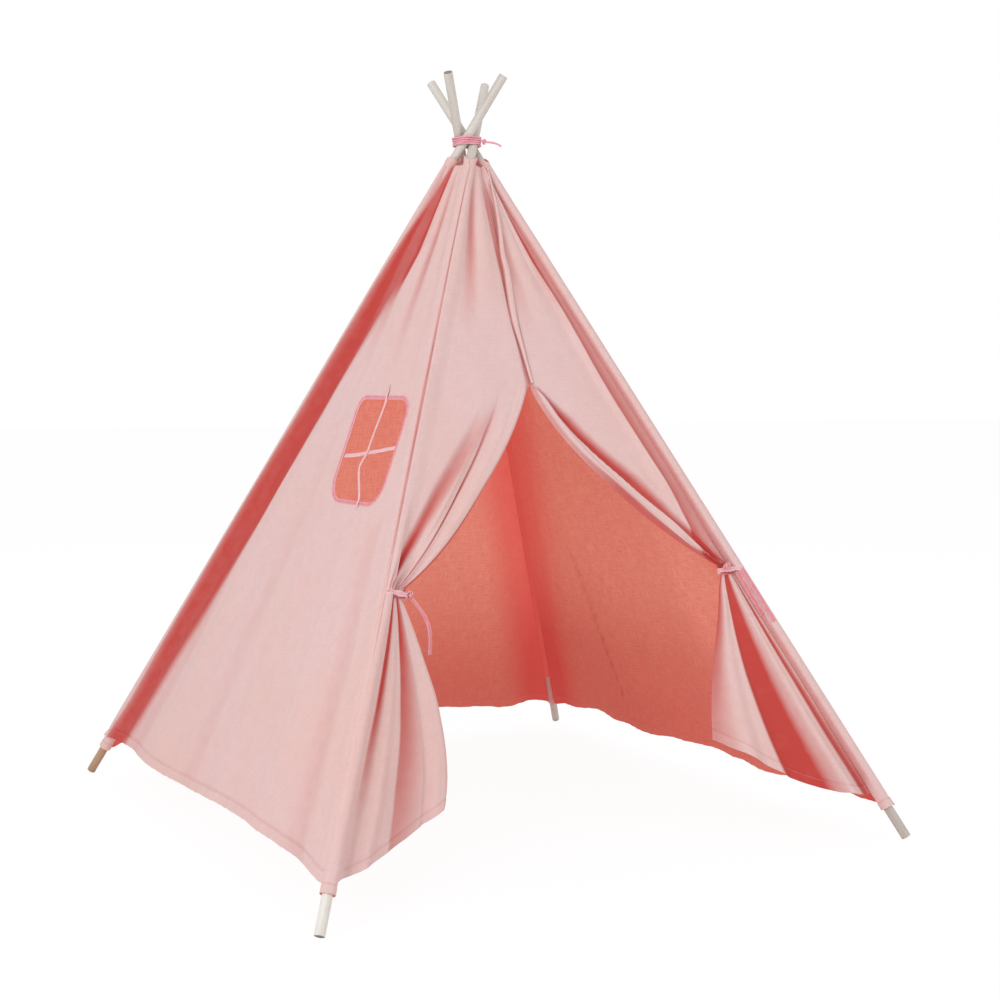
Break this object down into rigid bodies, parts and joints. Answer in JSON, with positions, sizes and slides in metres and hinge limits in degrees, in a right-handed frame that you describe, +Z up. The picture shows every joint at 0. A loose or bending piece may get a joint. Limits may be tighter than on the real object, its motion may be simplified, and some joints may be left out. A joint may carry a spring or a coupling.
{
  "type": "kids teepee",
  "caption": "Children's play teepee: four lashed poles spread to a square base, a sewn cotton cover with a tied-back door split and a small side window.",
  "frame": {"origin": "on the floor, at the middle of the four feet's square base", "axes": "+Z up, -Y out of the door, -X out of the window wall"},
  "size_m": [1.2166, 1.3064, 1.4714],
  "materials": {
    "cotton_outside": "matte",
    "cotton_far_walls": "matte",
    "ribbon": "matte",
    "pole_wood": "matte",
    "ferrule_metal": "satin",
    "lash_cord": "matte"
  },
  "bodies": {
    "cover": {"panel_left": "cotton_outside", "panel_right": "cotton_far_walls", "panel_rear": "cotton_far_walls", "front_left": "cotton_outside", "front_right": "cotton_outside", "front_placket": "cotton_outside", "window_binding": "ribbon", "window_ribbon_upright": "ribbon", "window_ribbon_cross": "ribbon", "lash_winding": "lash_cord", "lash_knot": "lash_cord", "lash_tail": "lash_cord"},
    "pole_front_left": {"pole_front_left_lower": "pole_wood", "pole_front_left_middle": "pole_wood", "pole_front_left_upper": "pole_wood", "ferrule_front_left_lower": "ferrule_metal", "ferrule_front_left_upper": "ferrule_metal", "sleeve_front_left": "cotton_outside", "tie_band_left": "ribbon", "tie_knot_left": "ribbon", "tie_tail_left": "ribbon"},
    "pole_front_right": {"pole_front_right_lower": "pole_wood", "pole_front_right_middle": "pole_wood", "pole_front_right_upper": "pole_wood", "ferrule_front_right_lower": "ferrule_metal", "ferrule_front_right_upper": "ferrule_metal", "sleeve_front_right": "cotton_outside", "tie_band_right": "ribbon", "tie_knot_right": "ribbon", "tie_tail_right_long": "ribbon", "tie_tail_right_short": "ribbon"},
    "pole_back_left": {"pole_back_left_lower": "pole_wood", "pole_back_left_middle": "pole_wood", "pole_back_left_upper": "pole_wood", "ferrule_back_left_lower": "ferrule_metal", "ferrule_back_left_upper": "ferrule_metal", "sleeve_back_left": "cotton_outside"},
    "pole_back_right": {"pole_back_right_lower": "pole_wood", "pole_back_right_middle": "pole_wood", "pole_back_right_upper": "pole_wood", "ferrule_back_right_lower": "ferrule_metal", "ferrule_back_right_upper": "ferrule_metal", "sleeve_back_right": "cotton_outside"},
    "skirt_left": {"skirt_left": "cotton_outside"},
    "skirt_right": {"skirt_right": "cotton_outside"}
  },
  "joints": [
    {"name": "fold_front_left", "type": "hinge", "parent": "cover", "child": "pole_front_left", "pos_m": [0.01043, -0.01043, 1.342], "axis": [0, -0.9034, 0.4288], "range_deg": [0, 18.5], "deforming": ["panel_left", "front_left", "front_placket", "window_binding", "window_ribbon_upright", "window_ribbon_cross", "skirt_left", "sleeve_front_left"]},
    {"name": "fold_front_right", "type": "hinge", "parent": "cover", "child": "pole_front_right", "pos_m": [0.01043, 0.01043, 1.342], "axis": [0, 0.8979, -0.4402], "range_deg": [0, 18.5], "deforming": ["front_right", "panel_right", "skirt_right", "sleeve_front_right"]},
    {"name": "fold_back_left", "type": "hinge", "parent": "cover", "child": "pole_back_left", "pos_m": [-0.01043, -0.01043, 1.342], "axis": [0, -0.8979, -0.4402], "range_deg": [0, 18.5], "deforming": ["panel_rear", "sleeve_back_left"]},
    {"name": "fold_back_right", "type": "hinge", "parent": "cover", "child": "pole_back_right", "pos_m": [-0.01043, 0.01043, 1.342], "axis": [0, 0.9034, 0.4288], "range_deg": [0, 18.5], "deforming": ["sleeve_back_right"]},
    {"name": "skirt_left_swing", "type": "hinge", "parent": "pole_front_left", "child": "skirt_left", "pos_m": [-0.6, -0.645, 0.00495], "axis": [0.3813, 0.3964, 0.8352], "range_deg": [-12, 40], "stiffness_Nm_per_rad": 0.8},
    {"name": "skirt_right_swing", "type": "hinge", "parent": "pole_front_right", "child": "skirt_right", "pos_m": [0.6, -0.645, 0.00495], "axis": [0.3681, -0.4093, -0.8349], "range_deg": [-12, 40], "stiffness_Nm_per_rad": 0.8}
  ],
  "couplings": [
    {"joint": "fold_front_right", "follows": "fold_front_left", "ratio": 1},
    {"joint": "fold_back_left", "follows": "fold_front_left", "ratio": 1},
    {"joint": "fold_back_right", "follows": "fold_front_left", "ratio": 1}
  ]
}
